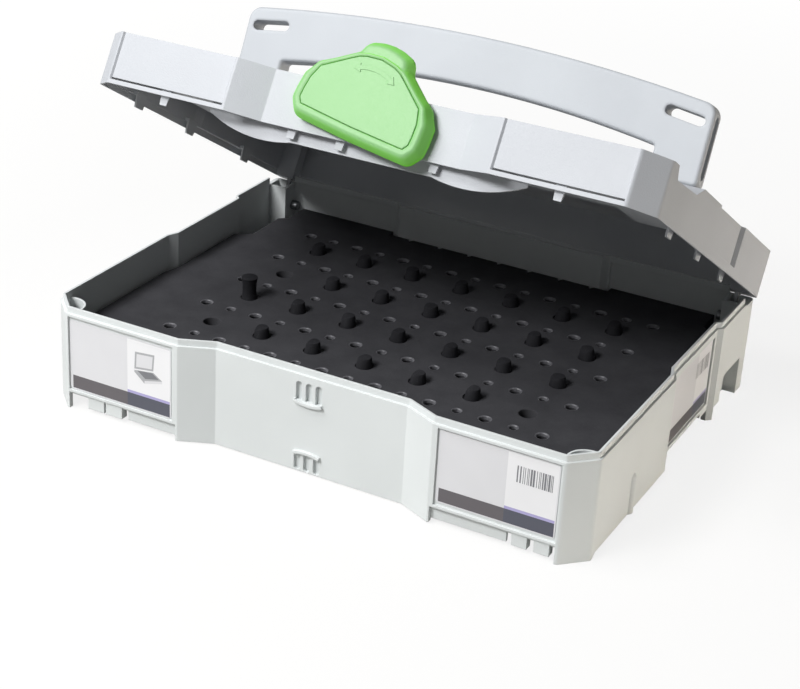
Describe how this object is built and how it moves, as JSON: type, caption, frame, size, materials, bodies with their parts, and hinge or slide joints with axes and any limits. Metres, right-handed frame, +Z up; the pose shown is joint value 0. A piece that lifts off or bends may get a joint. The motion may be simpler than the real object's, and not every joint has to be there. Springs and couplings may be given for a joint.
{
  "type": "tool case",
  "caption": "Stackable plastic tool case with a hinged lid held half open, a turning front latch, a folding carrying handle and a perforated foam insert for router bits.",
  "frame": {"origin": "centre of the base's footprint, on the plane its feet rest on", "axes": "+X to the right along the long side, +Y to the back where the hinges are, +Z up"},
  "size_m": [0.4, 0.3226, 0.2721],
  "materials": {
    "grey_shell": "fine spark-eroded texture",
    "handle_plastic": "fine spark-eroded texture",
    "latch_green": "satin",
    "latch_pale": "satin",
    "foam": "soft closed-cell foam",
    "card": "smooth card",
    "steel": "turned",
    "spring_steel": "oiled"
  },
  "bodies": {
    "base": {"base_shell": "grey_shell", "foam_insert": "foam", "foam_base_layer": "foam", "bit_plugs": "foam", "label_card_front_left": "card", "label_card_front_right": "card", "label_card_side_right": "card", "hinge_pin_left": "steel", "hinge_pin_right": "steel"},
    "plug": {"raised_plug": "foam"},
    "lid": {"lid_shell": "grey_shell", "hinge_arm_left": "steel", "hinge_arm_right": "steel", "latch_washer": "spring_steel", "handle_pin_left": "steel", "handle_pin_right": "steel"},
    "latch": {"latch_knob": "latch_green", "latch_face": "latch_pale", "latch_spindle": "steel", "latch_clip": "spring_steel"},
    "handle": {"handle": "handle_plastic"}
  },
  "joints": [
    {"name": "lid_hinge", "type": "hinge", "parent": "base", "child": "lid", "pos_m": [0, 0.142, 0.0524], "axis": [-1, 0, 0], "range_deg": [-30.8, 69.2]},
    {"name": "latch_turn", "type": "hinge", "parent": "lid", "child": "latch", "pos_m": [0, 0.03785, 0.155], "axis": [0, 0.859, -0.512], "range_deg": [-10.2, 169.8]},
    {"name": "handle_fold", "type": "hinge", "parent": "lid", "child": "handle", "pos_m": [0, 0.04469, 0.16257], "axis": [1, 0, 0], "range_deg": [-3, 85.4]},
    {"name": "plug_slide", "type": "slide", "parent": "base", "child": "plug", "axis": [0, 0, 1], "range_m": [-0.012, 0.012]}
  ]
}
